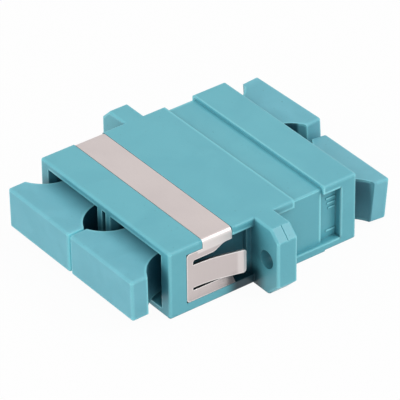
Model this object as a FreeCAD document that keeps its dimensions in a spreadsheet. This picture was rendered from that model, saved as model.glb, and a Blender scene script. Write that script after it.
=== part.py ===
import FreeCAD, Part
import Sketcher
import math
import os

# Duplex flanged fibre adapter for SC plugs, with panel clip and dust caps.
# Millimetres. +X is to the right seen from the front, +Y runs from the front ports to the
# rear ports, +Z is up. The origin is under the middle of the housing, on its underside.

doc = FreeCAD.newDocument("fibre_adapter")
sheet = doc.addObject("Spreadsheet::Sheet", "Sizes")


class Size:
    """A length that carries its value and the expression that binds it to the sheet."""

    def __init__(self, text, value):
        self.text = text
        self.value = value

    def __add__(self, other):
        other = as_size(other)
        return Size("(" + self.text + " + " + other.text + ")", self.value + other.value)

    def __radd__(self, other):
        return as_size(other) + self

    def __sub__(self, other):
        other = as_size(other)
        return Size("(" + self.text + " - " + other.text + ")", self.value - other.value)

    def __rsub__(self, other):
        return as_size(other) - self

    def __mul__(self, other):
        other = as_size(other)
        return Size("(" + self.text + " * " + other.text + ")", self.value * other.value)

    def __truediv__(self, other):
        other = as_size(other)
        return Size("(" + self.text + " / " + other.text + ")", self.value / other.value)

    def __neg__(self):
        return Size("(0 - " + self.text + ")", -self.value)


def as_size(number):
    if isinstance(number, Size):
        return number
    return Size("(" + repr(float(number)) + ")", float(number))


rows = []


def size(alias, value):
    """Write one driving dimension into the sheet."""
    row = str(len(rows) + 1)
    rows.append(alias)
    sheet.set("A" + row, alias)
    sheet.set("B" + row, str(value))
    sheet.setAlias("B" + row, alias)
    return Size("Sizes." + alias, float(value))


# Housing
half_length = size("half_length", 14.0)
side_wall = size("side_wall", 2.05)
roof_wall = size("roof_wall", 0.95)
edge_round = size("edge_round", 0.3)
port_pitch = size("port_pitch", 12.7)
lead_in = size("lead_in", 0.45)
lead_depth = size("lead_depth", 0.9)
core_slot = size("core_slot", 0.65)
core_end = size("core_end", 4.0)
key_width = size("key_width", 3.2)
key_length = size("key_length", 4.2)

# Flange
ear_reach = size("ear_reach", 4.6)
flange_front = size("flange_front", 1.5)
flange_rear = size("flange_rear", 1.4)
flange_corner = size("flange_corner", 1.4)
lower_corner = size("lower_corner", 1.7)
screw_offset = size("screw_offset", 2.4)
screw_hole = size("screw_hole", 2.4)
ear_round = size("ear_round", 0.25)
parting_width = size("parting_width", 0.12)
parting_depth = size("parting_depth", 0.05)

# Joint between the two halves
collar_end = size("collar_end", 4.55)
collar_wall = size("collar_wall", 0.42)
weld_gap = size("weld_gap", 0.05)
rear_band = size("rear_band", 5.05)
ledge_height = size("ledge_height", 1.1)
border_top = size("border_top", 1.15)
border_rear = size("border_rear", 2.4)
window_depth = size("window_depth", 1.0)

# Latch frames and sleeves
plate_lip = size("plate_lip", 0.6)
plate_thick = size("plate_thick", 1.2)
seat_gap = size("seat_gap", 0.05)
barrel_wall = size("barrel_wall", 0.7)
barrel_end = size("barrel_end", 6.3)
barrel_lip = size("barrel_lip", 0.5)
barrel_chamfer = size("barrel_chamfer", 0.2)
lip_radius = size("lip_radius", 1.45)
hook_reach = size("hook_reach", 7.8)
hook_clearance = size("hook_clearance", 0.3)
hook_nose = size("hook_nose", 0.45)
hook_ramp = size("hook_ramp", 1.3)
arm_thick = size("arm_thick", 0.65)
arm_height = size("arm_height", 3.6)
arm_clearance = size("arm_clearance", 0.2)
sleeve_bore = size("sleeve_bore", 1.25)
sleeve_wall = size("sleeve_wall", 0.35)
sleeve_slit = size("sleeve_slit", 0.4)
sleeve_play = size("sleeve_play", 0.1)
sleeve_chamfer = size("sleeve_chamfer", 0.08)

# Panel clip
sheet_thick = size("sheet_thick", 0.3)
clip_gap = size("clip_gap", 0.05)
clip_setback = size("clip_setback", 2.55)
strap_setback = size("strap_setback", 2.33)
strap_width = size("strap_width", 4.3)
clip_bottom = size("clip_bottom", 1.35)
shoulder_drop = size("shoulder_drop", 1.2)
clip_corner = size("clip_corner", 0.4)
clip_post = size("clip_post", 0.9)
clip_foot = size("clip_foot", 4.3)
bend_radius = size("bend_radius", 0.35)
frame_below = size("frame_below", 1.85)
frame_above = size("frame_above", 1.78)
tongue_tip = size("tongue_tip", 3.55)
tongue_flare = size("tongue_flare", 1.15)
tongue_toe = size("tongue_toe", 0.4)
tongue_bend = size("tongue_bend", 3.2)
tongue_lift = size("tongue_lift", 0.3)
slot_below = size("slot_below", 0.38)
slot_above = size("slot_above", 0.65)
arm_shelf = size("arm_shelf", 1.0)
arm_slope = size("arm_slope", 1.8)
arm_rise = size("arm_rise", 0.75)
foot_slant = size("foot_slant", 0.6)
pocket_depth = size("pocket_depth", 1.3)
pocket_rest = size("pocket_rest", 0.7)
pocket_step = size("pocket_step", 2.2)
step_depth = size("step_depth", 0.65)

# Dust caps
cap_spacing = size("cap_spacing", 0.3)
cap_headroom = size("cap_headroom", 0.95)
socket_headroom = size("socket_headroom", 0.75)
cap_plate = size("cap_plate", 2.3)
cap_neck = size("cap_neck", 6.5)
cap_scoop = size("cap_scoop", 4.5)
cap_scoop_radius = size("cap_scoop_radius", 4.9)
cap_stem = size("cap_stem", 0.7)
cap_stand_out = size("cap_stand_out", 5.1)
cap_hold = size("cap_hold", 2.0)
cap_bore_gap = size("cap_bore_gap", 0.2)
cap_wall = size("cap_wall", 0.4)
cap_round = size("cap_round", 0.3)

# How each cap hangs on its barrel: the share of its headroom that it has sagged at the port's
# mouth, how far it has turned in degrees, and how far it has slid out
front_sag = size("front_sag", 0.128)
rear_right_sag = size("rear_right_sag", 0.882)
rear_left_sag = size("rear_left_sag", -0.512)
rear_left_turn = size("rear_left_turn", 1.5)
rear_out = size("rear_out", 0.25)
doc.recompute()

# Sizes that follow from the pieces that go inside one another
barrel_radius = sleeve_bore + sleeve_wall + sleeve_play + barrel_wall
socket_radius = barrel_radius + cap_bore_gap + cap_wall
hook_tip = socket_radius + hook_clearance
arm_inner = hook_tip + hook_nose
arm_outer = arm_inner + arm_thick
port_width = (arm_outer + arm_clearance) * 2
port_height = (socket_radius + socket_headroom) * 2
plate_width = port_width + plate_lip * 2
body_width = port_pitch + port_width + side_wall * 2
body_height = port_height + roof_wall * 2
flange_width = body_width + ear_reach * 2
screw_pitch = body_width + screw_offset * 2
step_start = half_length - rear_band
clip_front = half_length - clip_setback
strap_front = clip_front - strap_setback
strap_rear = strap_front - strap_width
clip_shoulder = body_height - shoulder_drop
tongue_bottom = clip_bottom + frame_below
tongue_top = clip_shoulder - frame_above
cap_width = port_pitch - cap_spacing
cap_height = port_height - cap_headroom * 2
port_x = port_pitch / 2
axis_z = body_height / 2


def origin_plane(body, role):
    for feature in body.Origin.OriginFeatures:
        if feature.Role == role:
            return feature


def new_body(name):
    body = doc.addObject("PartDesign::Body", name)
    body.Label = name
    return body


def new_sketch(body, name, role, offset):
    sketch = body.newObject("Sketcher::SketchObject", name)
    sketch.AttachmentSupport = [(origin_plane(body, role), "")]
    sketch.MapMode = "FlatFace"
    sketch.setExpression("AttachmentOffset.Base.z", offset.text)
    return sketch


def bind(sketch, constraint, label, amount):
    index = sketch.addConstraint(constraint)
    sketch.renameConstraint(index, label)
    sketch.setExpression("Constraints." + label, amount.text)


def pin_point(sketch, geometry, point, place):
    across, up = as_size(place[0]), as_size(place[1])
    bind(sketch, Sketcher.Constraint("DistanceX", -1, 1, geometry, point, across.value),
         "across" + str(geometry), across)
    bind(sketch, Sketcher.Constraint("DistanceY", -1, 1, geometry, point, up.value),
         "up" + str(geometry), up)


def draw_arc(sketch, start, end, radius, inwards):
    """An arc from start to end of an outline drawn anticlockwise."""
    chord = end - start
    side = FreeCAD.Vector(-chord.y, chord.x, 0).normalize()
    rise = (radius.value ** 2 - (chord.Length / 2) ** 2) ** 0.5
    centre = (start + end) / 2 + side * (-rise if inwards else rise)
    circle = Part.Circle(centre, FreeCAD.Vector(0, 0, 1), radius.value)
    first, last = circle.parameter(start), circle.parameter(end)
    if inwards:
        first, last = last, first
    number = sketch.addGeometry(Part.ArcOfCircle(circle, first, last), False)
    bind(sketch, Sketcher.Constraint("Radius", number, radius.value), "radius" + str(number), radius)
    return number


def draw_outline(sketch, places, arcs):
    """A closed outline. arcs gives an edge's number its radius and whether it curves inwards."""
    corners = [FreeCAD.Vector(as_size(u).value, as_size(v).value, 0) for u, v in places]
    edges = []
    for n, start in enumerate(corners):
        end = corners[(n + 1) % len(corners)]
        if n in arcs:
            radius, inwards = arcs[n]
            number = draw_arc(sketch, start, end, radius, inwards)
            edges.append((number, 2, 1) if inwards else (number, 1, 2))
        else:
            edges.append((sketch.addGeometry(Part.LineSegment(start, end), False), 1, 2))
    for n, (number, first, last) in enumerate(edges):
        following, start_point, _ = edges[(n + 1) % len(edges)]
        sketch.addConstraint(Sketcher.Constraint("Coincident", number, last, following, start_point))
        pin_point(sketch, number, first, places[n])


def draw_circle(sketch, place, radius):
    centre = FreeCAD.Vector(as_size(place[0]).value, as_size(place[1]).value, 0)
    number = sketch.addGeometry(Part.Circle(centre, FreeCAD.Vector(0, 0, 1), radius.value), False)
    bind(sketch, Sketcher.Constraint("Radius", number, radius.value), "radius" + str(number), radius)
    pin_point(sketch, number, 3, place)


def box(left, bottom, right, top):
    return [(left, bottom), (right, bottom), (right, top), (left, top)]


def draw_all(sketch, outlines, circles, arcs):
    for places in outlines:
        draw_outline(sketch, places, arcs)
    for place, radius in circles:
        draw_circle(sketch, place, radius)


def pad(body, name, role, low, high, outlines=(), circles=(), arcs={}):
    """Solid between two places on the axis that the plane faces."""
    low, high = as_size(low), as_size(high)
    offset = -high if role == "XZ_Plane" else low
    sketch = new_sketch(body, name + "_outline", role, offset)
    draw_all(sketch, outlines, circles, arcs)
    feature = body.newObject("PartDesign::Pad", name)
    feature.Profile = sketch
    feature.setExpression("Length", (high - low).text)
    doc.recompute()
    return feature


def pocket(body, name, role, low, high, outlines=(), circles=(), arcs={}):
    """Cut between two places on the axis that the plane faces."""
    before = body.Shape.Volume
    low, high = as_size(low), as_size(high)
    offset = -low if role == "XZ_Plane" else high
    sketch = new_sketch(body, name + "_outline", role, offset)
    draw_all(sketch, outlines, circles, arcs)
    feature = body.newObject("PartDesign::Pocket", name)
    feature.Profile = sketch
    feature.setExpression("Length", (high - low).text)
    doc.recompute()
    if body.Shape.Volume >= before:
        raise ValueError(name + " cuts nothing")
    return feature


def dress(body, kind, name, amount, wanted):
    """Fillet or chamfer the edges that the test picks."""
    base = body.Tip
    names = ["Edge" + str(n + 1) for n, edge in enumerate(base.Shape.Edges) if wanted(edge)]
    feature = body.newObject("PartDesign::" + kind, name)
    feature.Base = (base, names)
    feature.setExpression("Radius" if kind == "Fillet" else "Size", amount.text)
    doc.recompute()
    return feature


def mirror_across(body, name, features):
    """The same features again on the other side of the middle."""
    mirrored = body.newObject("PartDesign::Mirrored", name)
    mirrored.Originals = features
    mirrored.MirrorPlane = (origin_plane(body, "YZ_Plane"), [""])
    body.Tip = mirrored
    doc.recompute()
    return mirrored


def middle(edge):
    return edge.BoundBox.Center


def along(edge, axis):
    """True for a straight edge that runs along X, Y or Z."""
    sizes = (edge.BoundBox.XLength, edge.BoundBox.YLength, edge.BoundBox.ZLength)
    return sizes[axis] > 0.05 and max(sizes[:axis] + sizes[axis + 1:]) < 0.001


def at(value, place):
    return abs(value - as_size(place).value) < 0.001


def both_ports(half_wide, low, high):
    """One rectangle at each port, seen along the ports."""
    return [box(side * port_x - half_wide, low, side * port_x + half_wide, high)
            for side in (as_size(-1), as_size(1))]


def cut_ports(body, mouth, inner, seat_end):
    """The two square ports, the wider seats for the latch plates, the cored divider and the
    keyways. mouth, inner and seat_end are places along Y."""
    floor = axis_z - port_height / 2
    roof = axis_z + port_height / 2
    seat = plate_width / 2 + seat_gap
    low, high = (mouth, inner) if mouth.value < inner.value else (inner, mouth)
    pocket(body, body.Name + "_ports", "XZ_Plane", low, high, both_ports(port_width / 2, floor, roof))
    low, high = (inner, seat_end) if inner.value < seat_end.value else (seat_end, inner)
    pocket(body, body.Name + "_plate_seats", "XZ_Plane", low, high, both_ports(seat, floor, roof))
    core = core_end if mouth.value > 0 else -core_end
    low, high = (mouth, core) if mouth.value < core.value else (core, mouth)
    pocket(body, body.Name + "_divider_core", "XZ_Plane", low, high,
           [box(-core_slot / 2, floor, core_slot / 2, roof)])
    key_end = mouth + key_length if mouth.value < 0 else mouth - key_length
    low, high = (mouth, key_end) if mouth.value < 0 else (key_end, mouth)
    keyways = [box(side * port_x - key_width / 2, low, side * port_x + key_width / 2, high)
               for side in (as_size(-1), as_size(1))]
    pocket(body, body.Name + "_keyways", "XY_Plane", 0, axis_z, keyways)
    ramps = []
    for side in (as_size(-1), as_size(1)):
        for wall in (as_size(-1), as_size(1)):
            edge = side * port_x + wall * port_width / 2
            turn = mouth + lead_depth if mouth.value < 0 else mouth - lead_depth
            corner = [(edge, mouth), (edge + wall * lead_in, mouth), (edge, turn)]
            ramps.append(corner)
    pocket(body, body.Name + "_lead_ins", "XY_Plane", floor, roof, ramps)


def make_front_housing():
    body = new_body("front_housing")
    half = body_width / 2
    pad(body, "front_shell", "XZ_Plane", -half_length, collar_end, [box(-half, 0, half, body_height)])
    dress(body, "Fillet", "front_rounds", edge_round,
          lambda edge: along(edge, 1) or at(edge.BoundBox.YMax, -half_length))
    reach = flange_width / 2
    inset = reach - flange_corner
    top = body_height - flange_corner
    pad(body, "flange", "XZ_Plane", -flange_front, flange_rear,
        [[(-reach, lower_corner), (lower_corner - reach, 0), (reach - lower_corner, 0), (reach, lower_corner),
          (reach, top), (inset, body_height), (-inset, body_height), (-reach, top)]])
    pocket(body, "screw_holes", "XZ_Plane", -flange_front, flange_rear,
           circles=[((-screw_pitch / 2, axis_z), screw_hole / 2),
                    ((screw_pitch / 2, axis_z), screw_hole / 2)])
    dress(body, "Fillet", "ear_rounds", ear_round,
          lambda edge: ((at(edge.BoundBox.YMax, -flange_front) or at(edge.BoundBox.YMin, flange_rear))
                        and edge.Curve.TypeId == "Part::GeomLine" and edge.BoundBox.ZMax > 0.001
                        and edge.BoundBox.YLength < 0.001 and edge.BoundBox.XMin * edge.BoundBox.XMax > 0
                        and abs(middle(edge).x) > half.value + 0.001))
    grooves = []
    for s in (as_size(1), as_size(-1)):
        grooves.append([(s * reach, top), (s * inset, body_height),
                        (s * (inset - parting_depth), body_height - parting_depth),
                        (s * (reach - parting_depth), top - parting_depth)])
    pocket(body, "parting_lines", "XZ_Plane", -parting_width / 2, parting_width / 2, grooves)
    cut_ports(body, -half_length, -(plate_thick + seat_gap * 2), as_size(0))
    pocket(body, "collar", "XZ_Plane", 0, collar_end,
           [box(-half + collar_wall, collar_wall, half - collar_wall, body_height - collar_wall)])
    recess_front = strap_front + clip_gap
    recess_rear = strap_rear - clip_gap
    pocket(body, "strap_recess", "XY_Plane", body_height - sheet_thick - clip_gap, body_height,
           [box(-half, -recess_front, half, -recess_rear)])
    slope = (bend_radius + sheet_thick) * 2 - (bend_radius - clip_gap) * 2 ** 0.5
    for name, side in (("bend_seat_right", as_size(1)), ("bend_seat_left", as_size(-1))):
        pocket(body, name, "XZ_Plane", -recess_front, -recess_rear,
               [[(side * half, body_height), (side * (half - slope), body_height),
                 (side * half, body_height - slope)]])
    foot = clip_bottom - clip_gap
    shoulder = clip_shoulder + clip_gap
    front = clip_front + clip_gap
    rest = pocket(body, "clip_rest", "YZ_Plane", half - sheet_thick - clip_gap, half,
                  [[(-front, foot), (-flange_front, foot), (-flange_front, shoulder),
                    (-recess_rear, shoulder), (-recess_rear, body_height), (-recess_front, body_height),
                    (-recess_front, shoulder), (-front, shoulder)]])
    root = clip_front - clip_post
    ledge = foot + pocket_rest
    brow = shoulder - pocket_rest
    relief = pocket(body, "tongue_relief", "YZ_Plane", half - pocket_depth, half,
                    [[(-root, ledge), (-recess_rear, ledge), (-recess_rear, foot), (-pocket_step, foot),
                      (-pocket_step, shoulder), (-recess_rear, shoulder), (-recess_rear, brow),
                      (-root, brow)]])
    step = pocket(body, "relief_step", "YZ_Plane", half - step_depth, half,
                  [box(-pocket_step, foot, -flange_front, shoulder)])
    window = pocket(body, "collar_window", "YZ_Plane", half - collar_wall - weld_gap, half,
                    [box(flange_rear, ledge_height, collar_end, body_height - border_top)])
    mirror_across(body, "front_other_side", [rest, relief, step, window])
    return body


def make_rear_housing():
    body = new_body("rear_housing")
    half = body_width / 2
    nose = half - collar_wall - weld_gap
    roof = body_height - collar_wall - weld_gap
    pad(body, "rear_end", "XZ_Plane", step_start, half_length, [box(-half, 0, half, body_height)])
    dress(body, "Fillet", "rear_rounds", edge_round,
          lambda edge: along(edge, 1) or at(edge.BoundBox.YMin, half_length))
    pad(body, "nose", "XZ_Plane", weld_gap, step_start + edge_round,
        [box(-nose, collar_wall + weld_gap, nose, roof)])
    pad(body, "ledges", "XZ_Plane", collar_end + weld_gap, step_start + edge_round,
        [box(-half, 0, half, ledge_height)])
    cut_ports(body, half_length, plate_thick + seat_gap * 2, weld_gap)
    window = pocket(body, "rear_window", "YZ_Plane", half - window_depth, half,
                    [box(step_start, ledge_height, half_length - border_rear, body_height - border_top)])
    mirror_across(body, "rear_other_side", [window])
    return body


def make_latch_frame(name, side_x, end):
    """Base plate, sleeve barrel and two hooks, drawn as a front one. end turns it to the rear."""
    body = new_body(name)
    back = seat_gap / 2
    face = back + plate_thick
    tall = port_height / 2 - seat_gap
    pad(body, name + "_plate", "XZ_Plane", -face, -back,
        [box(-plate_width / 2, -tall, plate_width / 2, tall)])
    pad(body, name + "_barrel", "XZ_Plane", -barrel_end, -back, circles=[((0, 0), barrel_radius)])
    dress(body, "Chamfer", name + "_barrel_lead", barrel_chamfer,
          lambda edge: at(edge.BoundBox.YMax, -barrel_end))
    catch = hook_reach - hook_ramp
    hooks = []
    for s in (as_size(1), as_size(-1)):
        hook = [(s * arm_outer, -back), (s * arm_inner, -back), (s * arm_inner, -catch),
                (s * hook_tip, -catch), (s * hook_tip, -catch - hook_ramp / 3),
                (s * arm_inner, -hook_reach), (s * arm_outer, -hook_reach)]
        hooks.append(hook)
    pad(body, name + "_hooks", "XY_Plane", -arm_height / 2, arm_height / 2, hooks)
    dress(body, "Fillet", name + "_hook_roots", hook_nose,
          lambda edge: (along(edge, 2) and at(edge.BoundBox.YMax, -face)
                        and at(abs(middle(edge).x), arm_inner)))
    bore = sleeve_bore + sleeve_wall + sleeve_play
    pocket(body, name + "_bore", "XZ_Plane", -(barrel_end - barrel_lip), -back, circles=[((0, 0), bore)])
    pocket(body, name + "_mouth", "XZ_Plane", -barrel_end, -back, circles=[((0, 0), lip_radius)])
    body.setExpression("Placement.Base.x", (side_x * port_x).text)
    body.setExpression("Placement.Base.z", axis_z.text)
    turn = 0 if end < 0 else 180
    body.Placement.Rotation = FreeCAD.Rotation(FreeCAD.Vector(0, 0, 1), turn)
    return body


def make_split_sleeve(name, side_x):
    body = new_body(name)
    reach = barrel_end - barrel_lip - sleeve_play
    outer = sleeve_bore + sleeve_wall
    pad(body, name + "_tube", "XZ_Plane", -reach, reach,
        circles=[((0, 0), outer), ((0, 0), sleeve_bore)])
    pocket(body, name + "_slit", "XY_Plane", 0, outer * 2,
           [box(-sleeve_slit / 2, -reach, sleeve_slit / 2, reach)])
    dress(body, "Chamfer", name + "_ends", sleeve_chamfer,
          lambda edge: edge.BoundBox.YLength < 0.001 and edge.BoundBox.XLength > sleeve_bore.value)
    body.setExpression("Placement.Base.x", (side_x * port_x).text)
    body.setExpression("Placement.Base.z", axis_z.text)
    return body


def make_panel_clip():
    """One bent sheet: a strap over the housing, a plate down each side and a lanced tongue that
    flares out from each plate towards the flange."""
    body = new_body("panel_clip")
    half = body_width / 2
    under = half - sheet_thick
    bend = bend_radius + sheet_thick
    leg = clip_shoulder
    lid = body_height - sheet_thick
    strap = [(half, leg), (half, body_height - bend), (half - bend, body_height),
             (bend - half, body_height), (-half, body_height - bend), (-half, leg),
             (-under, leg), (-under, body_height - bend), (bend - half, lid),
             (half - bend, lid), (under, body_height - bend), (under, leg)]
    pad(body, "strap", "XZ_Plane", -strap_front, -strap_rear, [strap],
        arcs={1: (bend, False), 3: (bend, False), 7: (bend_radius, True), 9: (bend_radius, True)})
    root = clip_front - clip_post
    upper = tongue_top + slot_above
    lower = tongue_bottom - slot_below
    round_end = slot_above / 2
    shelf = strap_rear + arm_shelf
    ease = arm_slope / 4
    lift = arm_rise / 6
    plate = [(-clip_front + clip_corner, clip_bottom), (-clip_foot, clip_bottom),
             (-clip_foot - foot_slant, lower), (-root, lower),
             (-root, upper - round_end), (-root + round_end, upper), (-shelf - arm_slope, upper),
             (ease - shelf - arm_slope, upper + lift), (-shelf - ease, upper + arm_rise - lift),
             (-shelf, upper + arm_rise),
             (-strap_rear, upper + arm_rise), (-strap_rear, body_height - bend),
             (-strap_front, body_height - bend), (-strap_front, clip_shoulder),
             (-clip_front + clip_corner, clip_shoulder), (-clip_front, clip_shoulder - clip_corner),
             (-clip_front, clip_bottom + clip_corner)]
    side = pad(body, "side_plate", "YZ_Plane", under, half, [plate],
               arcs={4: (round_end, True), 14: (clip_corner, False), 16: (clip_corner, False)})
    far = half + tongue_flare
    toe = tongue_tip + tongue_toe
    knee = root - tongue_bend
    sweep = (tongue_bend * tongue_bend + tongue_lift * tongue_lift) / (tongue_lift * 2)
    tongue = pad(body, "tongue", "XY_Plane", tongue_bottom, tongue_top,
                 [[(under, -root - sheet_thick), (half, -root - sheet_thick), (half, -root),
                   (half + tongue_lift, -knee), (far, -toe), (far, -tongue_tip),
                   (far - sheet_thick, -tongue_tip), (far - sheet_thick, -toe),
                   (under + tongue_lift, -knee), (under, -root)]],
                 arcs={2: (sweep, True), 8: (sweep, False)})
    mirror_across(body, "clip_other_side", [side, tongue])
    dress(body, "Fillet", "tongue_corners", clip_corner,
          lambda edge: along(edge, 0) and at(middle(edge).y, -tongue_tip))
    return body


def make_dust_cap(name, side_x, end, sag, turn, out):
    """Plate, scooped shank and a socket that slips over the sleeve barrel, drawn as a front cap.
    Its own origin is the middle of the length that holds it on the barrel."""
    body = new_body(name)
    grip = barrel_end - cap_hold / 2
    face = half_length + cap_stand_out - grip
    back = face - cap_plate
    neck = back - cap_scoop
    shank = neck - cap_stem
    wide = cap_width / 2
    slim = cap_neck / 2
    plan = [(-wide, -face), (wide, -face), (wide, -back), (slim, -neck), (slim, -shank),
            (-slim, -shank), (-slim, -neck), (-wide, -back)]
    pad(body, name + "_shank", "XY_Plane", -cap_height / 2, cap_height / 2, [plan],
        arcs={2: (cap_scoop_radius, True), 6: (cap_scoop_radius, True)})
    dress(body, "Fillet", name + "_rounds", cap_round,
          lambda edge: at(edge.BoundBox.YMax, -face) or (along(edge, 1) and at(abs(middle(edge).x), wide)))
    bore = barrel_radius + cap_bore_gap
    pad(body, name + "_socket", "XZ_Plane", -shank, cap_hold / 2, circles=[((0, 0), socket_radius)])
    pocket(body, name + "_bore", "XZ_Plane", -shank + cap_round, cap_hold / 2, circles=[((0, 0), bore)])
    body.setExpression("Placement.Base.x", (side_x * port_x).text)
    body.setExpression("Placement.Base.y", (end * (grip + out)).text)
    body.setExpression("Placement.Base.z", axis_z.text)
    facing = 0 if end.value < 0 else 180
    upright = FreeCAD.Rotation(FreeCAD.Vector(0, 0, 1), facing + turn.value)
    drop = sag * cap_headroom / (half_length - grip)
    tilt = math.degrees(math.atan(drop.value))
    body.Placement.Rotation = upright * FreeCAD.Rotation(FreeCAD.Vector(1, 0, 0), tilt)
    return body


left, right = as_size(-1), as_size(1)
front, rear = as_size(-1), as_size(1)
nothing = as_size(0)

parts = [make_front_housing(), make_rear_housing(), make_panel_clip()]
for word, side_x in (("left", left), ("right", right)):
    parts.append(make_latch_frame("latch_frame_front_" + word, side_x, -1))
    parts.append(make_latch_frame("latch_frame_rear_" + word, side_x, 1))
    parts.append(make_split_sleeve("split_sleeve_" + word, side_x))
    parts.append(make_dust_cap("dust_cap_front_" + word, side_x, front, front_sag, nothing, nothing))
parts.append(make_dust_cap("dust_cap_rear_left", left, rear, rear_left_sag, rear_left_turn, rear_out))
parts.append(make_dust_cap("dust_cap_rear_right", right, rear, rear_right_sag, nothing, rear_out))
doc.recompute()

for item in doc.Objects:
    if "Invalid" in item.State or "Error" in item.State:
        raise ValueError(item.Name + " failed")

os.makedirs("parts", exist_ok=True)
for part in parts:
    shape = part.Shape
    if shape.isNull() or not shape.isValid() or len(shape.Solids) != 1:
        raise ValueError(part.Label + " isn't one valid solid")
    shape.exportStep("parts/" + part.Label + ".step")
    print(part.Label, round(shape.Volume, 2), "mm3")
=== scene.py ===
from math import radians

import bmesh
import bpy
from mathutils import Matrix, Vector


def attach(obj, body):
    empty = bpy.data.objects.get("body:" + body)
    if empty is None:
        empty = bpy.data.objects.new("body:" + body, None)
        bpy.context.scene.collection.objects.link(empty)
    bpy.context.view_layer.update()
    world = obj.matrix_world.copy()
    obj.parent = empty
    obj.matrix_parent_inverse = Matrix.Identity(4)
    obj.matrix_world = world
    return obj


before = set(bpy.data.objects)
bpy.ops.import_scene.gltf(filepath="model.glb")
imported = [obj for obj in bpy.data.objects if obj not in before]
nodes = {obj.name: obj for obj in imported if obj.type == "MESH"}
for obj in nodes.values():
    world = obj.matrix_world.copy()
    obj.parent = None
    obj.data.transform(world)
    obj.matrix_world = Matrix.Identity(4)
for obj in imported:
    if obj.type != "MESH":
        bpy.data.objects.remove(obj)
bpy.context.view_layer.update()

mm = 0.001
print("frame loaded:", len(nodes), "nodes")


# small helpers for node trees

def newMaterial(name):
    material = bpy.data.materials.new(name)
    material.use_nodes = True
    tree = material.node_tree
    tree.nodes.clear()
    output = tree.nodes.new("ShaderNodeOutputMaterial")
    shader = tree.nodes.new("ShaderNodeBsdfPrincipled")
    tree.links.new(shader.outputs["BSDF"], output.inputs["Surface"])
    return material, tree, shader


def plug(tree, value, socket):
    # a node's output is linked, anything else is typed in
    if isinstance(value, bpy.types.NodeSocket):
        tree.links.new(value, socket)
    else:
        socket.default_value = value


def inMillimetres(tree, stretch=(1, 1, 1), turn=(0, 0, 0)):
    # the piece's own coordinates in mm, stretched and turned, in degrees, for a pattern
    place = tree.nodes.new("ShaderNodeTexCoord")
    mapping = tree.nodes.new("ShaderNodeMapping")
    mapping.inputs["Scale"].default_value = [1000 * s for s in stretch]
    mapping.inputs["Rotation"].default_value = [radians(t) for t in turn]
    tree.links.new(place.outputs["Object"], mapping.inputs["Vector"])
    return mapping.outputs["Vector"]


def noise(tree, place, scale, detail=3, roughness=0.5, distortion=0):
    node = tree.nodes.new("ShaderNodeTexNoise")
    tree.links.new(place, node.inputs["Vector"])
    node.inputs["Scale"].default_value = scale
    node.inputs["Detail"].default_value = detail
    node.inputs["Roughness"].default_value = roughness
    node.inputs["Distortion"].default_value = distortion
    return node.outputs["Fac"]


def sums(tree, kind, first, second=0.0, third=None, clamp=False):
    # one step of arithmetic, on numbers or on what other nodes give
    node = tree.nodes.new("ShaderNodeMath")
    node.operation = kind
    node.use_clamp = clamp
    plug(tree, first, node.inputs[0])
    plug(tree, second, node.inputs[1])
    if third is not None:
        plug(tree, third, node.inputs[2])
    return node.outputs[0]


def times(tree, first, second, clamp=False):
    return sums(tree, "MULTIPLY", first, second, clamp=clamp)


def oneMinus(tree, share):
    return sums(tree, "SUBTRACT", 1.0, share)


def spread(tree, value, low, high, newLow=0.0, newHigh=1.0):
    # low to high becomes newLow to newHigh, smoothly
    node = tree.nodes.new("ShaderNodeMapRange")
    node.interpolation_type = "SMOOTHSTEP"
    ends = (("From Min", low), ("From Max", high), ("To Min", newLow), ("To Max", newHigh))
    for name, number in ends:
        node.inputs[name].default_value = number
    tree.links.new(value, node.inputs["Value"])
    return node.outputs["Result"]


def blendColours(tree, amount, first, second):
    node = tree.nodes.new("ShaderNodeMix")
    node.data_type = "RGBA"
    plug(tree, amount, node.inputs["Factor"])
    plug(tree, first, node.inputs["A"])
    plug(tree, second, node.inputs["B"])
    return node.outputs["Result"]


def cornerShade(tree, reach, inside, alone=True):
    # inside finds the outer corners, else the crevices: 0 on a flat face, towards 1 in a corner
    # alone leaves the neighbouring pieces out; reach is in mm
    node = tree.nodes.new("ShaderNodeAmbientOcclusion")
    node.inside = inside
    node.samples = 12
    node.only_local = alone
    node.inputs["Distance"].default_value = reach * mm
    return sums(tree, "SUBTRACT", 1.0, node.outputs["AO"], clamp=True)


def roundedNormal(tree, radius):
    node = tree.nodes.new("ShaderNodeBevel")
    node.samples = 6
    node.inputs["Radius"].default_value = radius * mm
    return node.outputs["Normal"]


def bump(tree, height, distance, normal):
    node = tree.nodes.new("ShaderNodeBump")
    node.inputs["Strength"].default_value = 1.0
    node.inputs["Distance"].default_value = distance * mm
    tree.links.new(height, node.inputs["Height"])
    tree.links.new(normal, node.inputs["Normal"])
    return node.outputs["Normal"]


def swingRoughness(tree, pattern, middle, swing):
    # the middle value, up to half the swing less or more
    return sums(tree, "MULTIPLY_ADD", pattern, swing, middle - swing / 2)


def nearAxis(tree, centre, keep, low, high):
    # 1 within low mm of a straight line through centre, 0 past high mm
    # keep is 0 along the line's own direction
    place = tree.nodes.new("ShaderNodeTexCoord")
    shift = tree.nodes.new("ShaderNodeVectorMath")
    shift.operation = "MULTIPLY_ADD"
    shift.inputs[1].default_value = [1000 * k for k in keep]
    shift.inputs[2].default_value = [-c * k for c, k in zip(centre, keep)]
    tree.links.new(place.outputs["Object"], shift.inputs[0])
    length = tree.nodes.new("ShaderNodeVectorMath")
    length.operation = "LENGTH"
    tree.links.new(shift.outputs["Vector"], length.inputs[0])
    return spread(tree, length.outputs["Value"], low, high, 1.0, 0.0)


def separated(tree, vector):
    parts = tree.nodes.new("ShaderNodeSeparateXYZ")
    tree.links.new(vector, parts.inputs["Vector"])
    return parts.outputs


def axisValues(tree, kind, output):
    # the three numbers of a place or a direction
    return separated(tree, tree.nodes.new(kind).outputs[output])


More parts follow.
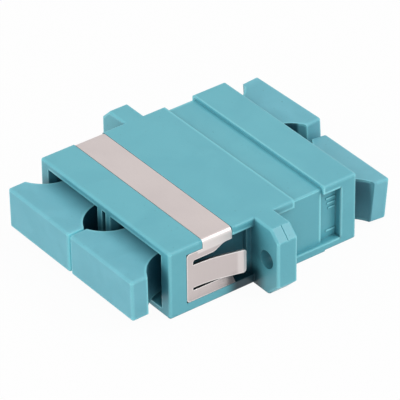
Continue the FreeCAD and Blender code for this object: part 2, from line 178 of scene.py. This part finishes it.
def insideBox(tree, low, high, ease=0.1):
    # 1 inside the box, in mm, the same on the left and the right, with soft sides
    amount = 1.0
    place = axisValues(tree, "ShaderNodeTexCoord", "Object")
    for axis, (near, far) in enumerate(zip(low, high)):
        value = place[axis]
        if axis == 0:
            value = sums(tree, "ABSOLUTE", value)
        amount = times(tree, spread(tree, value, (near - ease) * mm, near * mm), amount)
        amount = times(tree, spread(tree, value, far * mm, (far + ease) * mm, 1.0, 0.0), amount)
    return amount


def linear(red, green, blue):
    # the colour picker's 0 to 255 values, turned to the linear ones that a socket holds
    channels = [c / 255 for c in (red, green, blue)]
    return [c / 12.92 if c <= 0.04045 else ((c + 0.055) / 1.055) ** 2.4 for c in channels] + [1.0]


# moulded plastics: sizes are in mm, a share says how much of something there is, and a range
# says where it starts and where it is full

housingLook = {
    "faceColour": linear(98, 178, 191),
    "shadeColour": linear(93, 173, 187),
    # painted highlight and painted light on the plastics, and also the colour of the scuffs
    "scuffAndPaintedLightColour": linear(142, 222, 232),
    # painted shade
    "paintedShadeColour": linear(15, 68, 86),
    "paintedNookShadeColour": linear(2, 42, 54),
    "speckColour": linear(70, 128, 140),
    # the moulded skin
    "grainPerMm": 7.0, "grainDepth": 0.004,
    "flowPerMm": 0.16, "flowRange": (0.3, 0.7), "sinkDepth": 0.03,
    "pitsPerGrain": 0.45, "pitRange": (0.62, 0.74), "pitShare": 0.8,
    "specksPerMm": 3.1, "speckRange": (0.74, 0.8), "speckShare": 0.35,
    "scuffsPerMm": 2.6, "scuffRange": (0.6, 0.78), "scuffShare": 0.05,
    "scuffStretch": (1.0, 0.06, 1.0), "scuffTurn": (0, 0, 28),
    "roughness": 0.38, "roughSwing": 0.14, "scuffRoughness": 0.12,
    "ior": 1.5, "glow": 0.1, "glowDepth": 0.4, "glowSpread": (0.35, 1.0, 1.0),
    "softEdge": 0.12,
    # painted highlights on the rims of the outer edges, strongest where an edge stands upright
    "rimReach": 0.4, "rimRange": (0.03, 0.26), "rimShare": 1.2, "topRims": 0.34,
    "tiltRange": (0.1, 0.5),
    "shutReach": 1.0, "shutRange": (0.12, 0.4),
    "holes": (-15.4, 15.4), "holeHeight": 4.7, "holeRims": (1.4, 1.65),
    # painted shade in the crevices, and broad painted shade between the pieces
    "creviceReach": 1.8, "creviceRange": (0.42, 0.88), "creviceShare": 0.6, "alone": False,
    "deepReach": 6.0, "deepRange": (0.1, 0.6), "deepShare": 0.8, "lidShare": 1.0,
    "floorShade": 0.5, "floorReach": 5.5,
    # how far up a face looks, where it counts as a lid and where it stops being an underside
    "lidRange": (0.5, 0.8), "underRange": (-0.8, -0.5),
    # the round marks that the ejector pins leave on the underside
    "pins": ((-9.0, -12.4), (9.0, -12.4), (-5.5, 0.0), (5.5, 0.0)),
    "pinEdge": (0.67, 0.75), "pinDepth": 0.04,
    # boxes: two corners, then the width of the soft sides, and for painted light and shade a share
    # and colour
    # quiet ones get no painted rim highlight: where the clip lies
    "quiet": (((0, -9.6, 8.7), (13.2, -4.3, 9.8)),
              ((12.4, -12.0, 0.9), (13.6, -5.0, 8.7)),
              ((12.4, -5.0, 0.9), (13.6, -2.0, 7.4))),
    # clear ones get no painted shade: the grooves on the ears
    "clear": (((13.3, -0.3, 6.0), (18.0, 0.3, 9.8), 0.3),),
    # painted light and shade are blended over that: painted shade on the pocket's floor under the
    # clip and in the nook below the tongue's tip, and the face colour again inside the screw holes
    "paintedLightAndShade": (((11.0, -11.9, 0.9), (12.48, -1.6, 8.35), 0.1, 0.22, "paintedShadeColour"),
                ((12.4, -3.9, -1.0), (13.3, -1.3, 1.6), 2.2, 0.96, "paintedNookShadeColour"),
                ((14.1, -1.4, 3.4), (16.7, 1.3, 6.0), 0.05, 0.22, "faceColour"))}

noPlaces = {"holes": (), "pins": (), "quiet": (), "clear": (), "paintedLightAndShade": ()}

rearLook = {
    **housingLook, **noPlaces, "deepShare": 0.12,
    "pins": ((-9.5, 12.6), (0, 12.6), (9.5, 12.6)),
    # painted shade: the side recess is darkest on the wall at its end
    "paintedLightAndShade": (((11.9, 11.52, 0.9), (13.1, 11.75, 8.4), 0.08, 0.35, "paintedShadeColour"),)}

capLook = {
    **housingLook, **noPlaces,
    "faceColour": linear(110, 182, 197),
    "shadeColour": linear(103, 175, 190),
    "grainPerMm": 5.0, "grainDepth": 0.006, "flowPerMm": 0.21,
    "roughness": 0.5, "scuffShare": 0.09, "glow": 0.16,
    "alone": True, "deepShare": 1.0, "lidShare": 0.25,
    # the rims of the rear scoops get no painted highlight, the slits between neighbouring caps no
    # painted shade
    "quiet": (((12.1, 16.5, -1.0), (12.9, 17.6, 9.0)),),
    "clear": (((-1.0, -20.0, -1.0), (0.5, -16.0, 9.0), 0.4),
              ((-1.0, 16.6, -1.0), (1.3, 20.0, 9.0), 0.4)),
    # painted light in the front slit, and painted shade on the rear scoops, which lie in the
    # housing's shade
    "paintedLightAndShade": (((-1.0, -20.0, -1.0), (0.2, -16.0, 9.0), 0.15, 0.9, "scuffAndPaintedLightColour"),
                ((8.6, 12.0, -1.0), (12.3, 16.8, 6.0), 0.3, 0.6, "paintedShadeColour"))}

latchLook = {
    **housingLook, **noPlaces,
    "faceColour": linear(96, 166, 180),
    "shadeColour": linear(88, 158, 173),
    "grainPerMm": 11.0, "grainDepth": 0.002,
    "roughness": 0.34, "softEdge": 0.05}


def paintedRimHighlights(tree, look):
    rim = spread(tree, cornerShade(tree, look["rimReach"], True), *look["rimRange"])
    for x in look["holes"]:
        # the screw holes' own rims get no painted highlight
        hole = nearAxis(tree, (x, 0, look["holeHeight"]), (1, 0, 1), *look["holeRims"])
        rim = times(tree, rim, oneMinus(tree, hole))
    for low, high in look["quiet"]:
        rim = times(tree, rim, oneMinus(tree, insideBox(tree, low, high)))
    # an edge inside a port or under a neighbour gets no painted rim highlight
    shut = spread(tree, cornerShade(tree, look["shutReach"], False, False), *look["shutRange"])
    rim = times(tree, rim, oneMinus(tree, shut))
    # an upright edge gets more painted highlight than one that meets the top
    wide = separated(tree, roundedNormal(tree, look["rimReach"]))["Z"]
    upright = spread(tree, sums(tree, "ABSOLUTE", wide), *look["tiltRange"],
                     look["rimShare"], look["rimShare"] * look["topRims"])
    return times(tree, rim, upright, clamp=True)


def mouldedPlastic(name, look):
    material, tree, shader = newMaterial(name)
    place = inMillimetres(tree)
    grain = noise(tree, place, look["grainPerMm"], 4, 0.6)
    pits = noise(tree, place, look["grainPerMm"] * look["pitsPerGrain"], 2, 0.4)
    pits = spread(tree, pits, *look["pitRange"])
    flow = noise(tree, place, look["flowPerMm"], 3, 0.5, 0.8)
    specks = spread(tree, noise(tree, place, look["specksPerMm"], 1, 0.3), *look["speckRange"])
    along = inMillimetres(tree, look["scuffStretch"], look["scuffTurn"])
    scuffs = spread(tree, noise(tree, along, look["scuffsPerMm"], 5, 0.7), *look["scuffRange"])

    height = axisValues(tree, "ShaderNodeTexCoord", "Object")[2]
    rise = axisValues(tree, "ShaderNodeNewGeometry", "Normal")[2]
    notLid = spread(tree, rise, *look["lidRange"], 1.0, look["lidShare"])
    notUnder = spread(tree, rise, *look["underRange"])
    crevice = cornerShade(tree, look["creviceReach"], False, look["alone"])
    crevice = times(tree, spread(tree, crevice, *look["creviceRange"]), notUnder)
    # the floor under the adapter adds to the broad painted shade by height, and that is taken off
    # again
    deep = cornerShade(tree, look["deepReach"], False, False)
    fromFloor = spread(tree, height, 0.0, look["floorReach"] * mm, look["floorShade"], 0.0)
    deep = spread(tree, sums(tree, "SUBTRACT", deep, fromFloor), *look["deepRange"])
    # the broad painted shade is weaker on faces that look up, and left off the undersides
    deep = times(tree, times(tree, deep, notLid), notUnder)
    for low, high, ease in look["clear"]:
        away = oneMinus(tree, insideBox(tree, low, high, ease))
        deep = times(tree, deep, away)
        crevice = times(tree, crevice, away)
    crevice = times(tree, crevice, look["creviceShare"], clamp=True)
    deep = times(tree, deep, look["deepShare"], clamp=True)

    tone = spread(tree, flow, *look["flowRange"])
    tone = blendColours(tree, tone, look["shadeColour"], look["faceColour"])
    tone = blendColours(tree, times(tree, specks, look["speckShare"]), tone, look["speckColour"])
    tone = blendColours(tree, times(tree, scuffs, look["scuffShare"]), tone, look["scuffAndPaintedLightColour"])
    # painted highlight on the outer rims
    tone = blendColours(tree, paintedRimHighlights(tree, look), tone, look["scuffAndPaintedLightColour"])
    # painted shade in the crevices and broad painted shade between the pieces
    tone = blendColours(tree, crevice, tone, look["paintedShadeColour"])
    tone = blendColours(tree, deep, tone, look["paintedShadeColour"])
    for low, high, ease, share, colour in look["paintedLightAndShade"]:
        # painted shade and painted light in boxes, darker or lighter than the painted shades above
        # make them
        within = times(tree, insideBox(tree, low, high, ease), times(tree, notLid, share))
        tone = blendColours(tree, within, tone, look[colour])
    tree.links.new(tone, shader.inputs["Base Color"])

    gloss = swingRoughness(tree, grain, look["roughness"], look["roughSwing"])
    gloss = sums(tree, "ADD", gloss, times(tree, scuffs, look["scuffRoughness"]), clamp=True)
    tree.links.new(gloss, shader.inputs["Roughness"])

    normal = roundedNormal(tree, look["softEdge"])
    skin = sums(tree, "SUBTRACT", grain, times(tree, pits, look["pitShare"]))
    normal = bump(tree, skin, look["grainDepth"], normal)
    for x, y in look["pins"]:
        disc = nearAxis(tree, (x, y, 0), (1, 1, 0), *look["pinEdge"])
        disc = times(tree, disc, oneMinus(tree, notUnder))
        normal = bump(tree, oneMinus(tree, disc), look["pinDepth"], normal)
    normal = bump(tree, flow, look["sinkDepth"], normal)
    tree.links.new(normal, shader.inputs["Normal"])
    shader.inputs["IOR"].default_value = look["ior"]
    shader.inputs["Subsurface Weight"].default_value = look["glow"]
    shader.inputs["Subsurface Radius"].default_value = look["glowSpread"]
    shader.inputs["Subsurface Scale"].default_value = look["glowDepth"] * mm
    return material


housingPlastic = mouldedPlastic("housing_plastic", housingLook)
rearPlastic = mouldedPlastic("housing_plastic_rear", rearLook)
capPlastic = mouldedPlastic("cap_plastic", capLook)
latchPlastic = mouldedPlastic("latch_plastic", latchLook)
print("plastics made")


# rolled spring steel

steelLook = {
    "sheet": linear(211, 201, 199),
    "dull": linear(196, 186, 185),
    "paintedHighlight": linear(253, 248, 246),
    "shadow": linear(58, 64, 68),
    # rolling lines, broad clouds, finger smears and scratches
    # the lines run over the strap and down the side plates, so only y crosses them
    "linesPerMm": 14.0, "lineStretch": (0.05, 1.0, 0.05), "lineShare": 0.25, "lineDepth": 0.0012,
    "cloudsPerMm": 0.12, "cloudRange": (0.3, 0.75), "cloudShare": 0.5,
    "smearsPerMm": 1.4, "smearRange": (0.55, 0.75),
    "scratchesPerMm": 6.0, "scratchRange": (0.68, 0.74), "scratchShare": 1.5,
    "scratchStretch": (0.09, 1.0, 1.0), "scratchTurn": (0, 0, 17),
    "roughness": 0.42, "roughSwing": 0.16, "smearRoughness": 0.07, "scratchRoughness": 0.12,
    "softEdge": 0.05,
    # painted highlight on the cut edges, but not where the strap lies in its recess
    "cutReach": 0.27, "cutRange": (0.16, 0.5),
    "strap": ((0, -9.6, 8.9), (12.9, -4.3, 9.8)),
    # painted highlight: the arm under the bend and the end of the tongue are brighter than the
    # sheet
    "bright": (((12.6, -9.7, 7.9), (13.2, -4.2, 9.0), 0.3, 0.5),
               ((13.2, -4.5, 2.8), (15.0, -3.4, 6.6), 0.4, 0.3)),
    # painted shadow: the sheet is darker where its tongue stands over it, most of all at the end of
    # its foot
    "hollowReach": 6.0, "hollowRange": (0.36, 0.52), "hollowShare": 0.9,
    "foot": ((12.0, -4.9, -1.0), (13.15, -4.0, 2.9), 1.1), "footShare": 0.75}


def rolledSteel(name, look):
    material, tree, shader = newMaterial(name)
    lines = noise(tree, inMillimetres(tree, look["lineStretch"]), look["linesPerMm"], 5, 0.65)
    place = inMillimetres(tree)
    cloud = noise(tree, place, look["cloudsPerMm"], 2, 0.5, 0.3)
    cloud = spread(tree, cloud, *look["cloudRange"], 0.0, look["cloudShare"])
    smear = spread(tree, noise(tree, place, look["smearsPerMm"], 4, 0.6), *look["smearRange"])
    along = inMillimetres(tree, look["scratchStretch"], look["scratchTurn"])
    scratches = noise(tree, along, look["scratchesPerMm"], 3, 0.5)
    scratches = spread(tree, scratches, *look["scratchRange"])
    paintedHighlight = spread(tree, cornerShade(tree, look["cutReach"], True), *look["cutRange"])
    paintedHighlight = times(tree, paintedHighlight, oneMinus(tree, insideBox(tree, *look["strap"])))
    hollow = cornerShade(tree, look["hollowReach"], False, False)
    hollow = times(tree, spread(tree, hollow, *look["hollowRange"]), look["hollowShare"])
    foot = times(tree, insideBox(tree, *look["foot"]), look["footShare"])

    tone = blendColours(tree, cloud, look["sheet"], look["dull"])
    tone = blendColours(tree, times(tree, lines, look["lineShare"]), tone, look["dull"])
    # painted highlight on the cut edges and in the bright boxes
    tone = blendColours(tree, paintedHighlight, tone, look["paintedHighlight"])
    for low, high, ease, share in look["bright"]:
        within = times(tree, insideBox(tree, low, high, ease), share)
        tone = blendColours(tree, within, tone, look["paintedHighlight"])
    # painted shadow under the tongue and at the end of the foot
    tone = blendColours(tree, hollow, tone, look["shadow"])
    tone = blendColours(tree, foot, tone, look["shadow"])
    tree.links.new(tone, shader.inputs["Base Color"])

    gloss = swingRoughness(tree, lines, look["roughness"], look["roughSwing"])
    gloss = sums(tree, "ADD", gloss, times(tree, smear, look["smearRoughness"]))
    scratched = times(tree, scratches, look["scratchRoughness"])
    tree.links.new(sums(tree, "ADD", gloss, scratched, clamp=True), shader.inputs["Roughness"])
    skin = sums(tree, "SUBTRACT", lines, times(tree, scratches, look["scratchShare"]))
    normal = bump(tree, skin, look["lineDepth"], roundedNormal(tree, look["softEdge"]))
    tree.links.new(normal, shader.inputs["Normal"])
    shader.inputs["Metallic"].default_value = 1.0
    return material


# fired and ground ceramic, for the sleeves

ceramicLook = {
    "body": linear(240, 237, 228),
    "shade": linear(229, 224, 212),
    "cloudsPerMm": 1.1, "cloudRange": (0.35, 0.65),
    "honingPerMm": 9.0, "honingStretch": (0.2, 3.0, 0.2), "honingDepth": 0.0008,
    "roughness": 0.16, "roughSwing": 0.1, "softEdge": 0.03,
    "ior": 2.1, "glow": 0.1, "glowDepth": 0.3, "glowSpread": (1.0, 0.9, 0.7)}


def firedCeramic(name, look):
    material, tree, shader = newMaterial(name)
    cloud = noise(tree, inMillimetres(tree), look["cloudsPerMm"], 3, 0.5)
    along = inMillimetres(tree, look["honingStretch"])
    honing = noise(tree, along, look["honingPerMm"], 4, 0.6)
    cloud = spread(tree, cloud, *look["cloudRange"])
    tone = blendColours(tree, cloud, look["body"], look["shade"])
    tree.links.new(tone, shader.inputs["Base Color"])
    gloss = swingRoughness(tree, honing, look["roughness"], look["roughSwing"])
    tree.links.new(gloss, shader.inputs["Roughness"])
    normal = bump(tree, honing, look["honingDepth"], roundedNormal(tree, look["softEdge"]))
    tree.links.new(normal, shader.inputs["Normal"])
    shader.inputs["IOR"].default_value = look["ior"]
    shader.inputs["Subsurface Weight"].default_value = look["glow"]
    shader.inputs["Subsurface Radius"].default_value = look["glowSpread"]
    shader.inputs["Subsurface Scale"].default_value = look["glowDepth"] * mm
    return material


springSteel = rolledSteel("spring_steel", steelLook)
zirconia = firedCeramic("zirconia", ceramicLook)

# each CAD node takes the finish that its name starts with
finishes = {"front_housing": housingPlastic, "rear_housing": rearPlastic, "panel_clip": springSteel,
            "dust_cap": capPlastic, "latch_frame": latchPlastic, "split_sleeve": zirconia}
for name, node in nodes.items():
    for start, material in finishes.items():
        if name.startswith(start):
            node.data.materials.clear()
            node.data.materials.append(material)
print("steel and ceramic made, finishes given")


# new pieces

def meshPiece(name, bm, material, body):
    bmesh.ops.remove_doubles(bm, verts=bm.verts, dist=1e-7)
    bmesh.ops.recalc_face_normals(bm, faces=bm.faces)
    mesh = bpy.data.meshes.new(name)
    bm.to_mesh(mesh)
    bm.free()
    mesh.materials.append(material)
    piece = bpy.data.objects.new(name, mesh)
    bpy.context.scene.collection.objects.link(piece)
    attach(piece, body)


def addBlock(bm, middle, lengths, roundBy):
    # a bar with all its edges eased
    made = bmesh.ops.create_cube(bm, size=1.0)["verts"]
    bmesh.ops.scale(bm, vec=Vector(lengths), verts=made)
    bmesh.ops.translate(bm, vec=Vector(middle), verts=made)
    edges = list({edge for vert in made for edge in vert.link_edges})
    bmesh.ops.bevel(bm, geom=edges, offset=roundBy, offset_type="OFFSET", segments=2, profile=0.5,
                    affect="EDGES", material=-1)


# plain raised strokes on the floor of each rear side recess, with a bar under them
sideMarks = {
    "floorX": 12.0, "proud": 0.12, "sunk": 0.1, "ease": 0.05,
    "strokeY": (10.05, 11.45), "strokeZ": (6.72, 6.02, 5.32), "strokeHeight": 0.26,
    "shorterBy": 0.16,        # each stroke than the one above it
    "barY": (10.05, 11.55), "barZ": 2.1, "barHeight": 0.3}


def addMark(bm, side, look, near, far, z, height):
    depth = look["proud"] + look["sunk"]
    x = side * (look["floorX"] - look["sunk"] + depth / 2)
    addBlock(bm, (x * mm, (near + far) / 2 * mm, z * mm),
             (depth * mm, (far - near) * mm, height * mm), look["ease"] * mm)


def addMarks(word, side, look):
    bm = bmesh.new()
    near, far = look["strokeY"]
    for n, z in enumerate(look["strokeZ"]):
        addMark(bm, side, look, near + look["shorterBy"] * n, far, z, look["strokeHeight"])
    near, far = look["barY"]
    addMark(bm, side, look, near, far, look["barZ"], look["barHeight"])
    meshPiece("recess_marks_" + word, bm, rearPlastic, "adapter")


addMarks("right", 1, sideMarks)
addMarks("left", -1, sideMarks)
print("recess marks made")


# floor, room, lamps and camera

floorLook = {"size": 3.0, "drop": 0.02, "paper": 0.75, "mottled": 0.985, "grainPerMm": 0.8,
             "roughness": 0.8, "lift": 0.96}      # size in metres, drop in mm
roomLook = {"fill": 0.6, "seen": 1.0}
white = (1, 1, 1, 1)


def seenDirectly(tree):
    # 1 for what the camera sees, straight or in a mirror or through glass
    path = tree.nodes.new("ShaderNodeLightPath")
    seen = sums(tree, "MAXIMUM", path.outputs["Is Camera Ray"], path.outputs["Is Glossy Ray"])
    return sums(tree, "MAXIMUM", seen, path.outputs["Is Transmission Ray"])


def paleFloor(look):
    material, tree, shader = newMaterial("floor_paper")
    output = next(node for node in tree.nodes if node.type == "OUTPUT_MATERIAL")
    shader.inputs["Roughness"].default_value = look["roughness"]
    paper = noise(tree, inMillimetres(tree), look["grainPerMm"], 3)
    tones = [[look["paper"] * share] * 3 + [1.0] for share in (1.0, look["mottled"])]
    tree.links.new(blendColours(tree, paper, *tones), shader.inputs["Base Color"])
    glow = tree.nodes.new("ShaderNodeEmission")
    glow.inputs["Color"].default_value = white
    mix = tree.nodes.new("ShaderNodeMixShader")
    tree.links.new(times(tree, seenDirectly(tree), look["lift"]), mix.inputs["Fac"])
    tree.links.new(shader.outputs["BSDF"], mix.inputs[1])
    tree.links.new(glow.outputs["Emission"], mix.inputs[2])
    tree.links.new(mix.outputs["Shader"], output.inputs["Surface"])
    bm = bmesh.new()
    bmesh.ops.create_grid(bm, x_segments=1, y_segments=1, size=look["size"] / 2)
    bmesh.ops.translate(bm, vec=Vector((0, 0, -look["drop"] * mm)), verts=bm.verts)
    mesh = bpy.data.meshes.new("floor")
    bm.to_mesh(mesh)
    bm.free()
    mesh.materials.append(material)
    floor = bpy.data.objects.new("floor", mesh)
    bpy.context.scene.collection.objects.link(floor)


def paleRoom(look):
    world = bpy.data.worlds.new("studio")
    bpy.context.scene.world = world
    world.use_nodes = True
    tree = world.node_tree
    tree.nodes.clear()
    air = tree.nodes.new("ShaderNodeBackground")
    output = tree.nodes.new("ShaderNodeOutputWorld")
    strength = spread(tree, seenDirectly(tree), 0, 1, look["fill"], look["seen"])
    tree.links.new(strength, air.inputs["Strength"])
    air.inputs["Color"].default_value = white
    tree.links.new(air.outputs["Background"], output.inputs["Surface"])


paleFloor(floorLook)
paleRoom(roomLook)

# the camera's own axes come from the turn, height and slight roll that line the edges up with
# the picture; target and away are in mm
cameraLook = {"target": (0.324, 0.02, 4.505), "away": 464.6,
              "backward": (0.66405, -0.49537, 0.56004), "rightward": (0.60254, 0.79804, -0.00855),
              "lens": 345.99, "sensor": 36, "clipStart": 0.01}
target = Vector(cameraLook["target"]) * mm

# the room gives most of the light, and three softboxes the rest: high on the right, where the
# clip's bend mirrors it, on the left and by the camera; away and width are in metres
lampLook = {
    "high": {"toward": (0.56, 0.5, 0.66), "away": 0.5, "width": 0.17, "watts": 0.74,
             "mirrored": True},
    "left": {"toward": (-0.62, -0.8, 0.35), "away": 0.6, "width": 0.6, "watts": 1.64,
             "mirrored": False},
    "front": {"toward": (0.62, -0.62, 0.48), "away": 0.6, "width": 0.5, "watts": 0.67,
              "mirrored": False}}


def addLamp(name, look):
    lamp = bpy.data.lights.new(name, "AREA")
    lamp.shape = "SQUARE"
    lamp.size = look["width"]
    lamp.energy = look["watts"]
    thing = bpy.data.objects.new(name, lamp)
    thing.visible_glossy = look["mirrored"]      # the low ones would burn out the clip from behind
    toward = Vector(look["toward"]).normalized()
    turn = toward.to_track_quat("Z", "Y").to_matrix().to_4x4()
    thing.matrix_world = Matrix.Translation(target + toward * look["away"]) @ turn
    bpy.context.scene.collection.objects.link(thing)


def addCamera(look):
    lens = bpy.data.cameras.new("camera")
    lens.sensor_width = look["sensor"]
    lens.lens = look["lens"]
    lens.clip_start = look["clipStart"]
    camera = bpy.data.objects.new("camera", lens)
    backward = Vector(look["backward"]).normalized()
    rightward = Vector(look["rightward"]).normalized()
    turn = Matrix((rightward, backward.cross(rightward), backward)).transposed().to_4x4()
    camera.matrix_world = Matrix.Translation(target + backward * look["away"] * mm) @ turn
    bpy.context.scene.collection.objects.link(camera)
    bpy.context.scene.camera = camera


for name, look in lampLook.items():
    addLamp(name + "_softbox", look)
addCamera(cameraLook)
bpy.context.scene.view_settings.view_transform = "Standard"
print("floor, light and camera set")
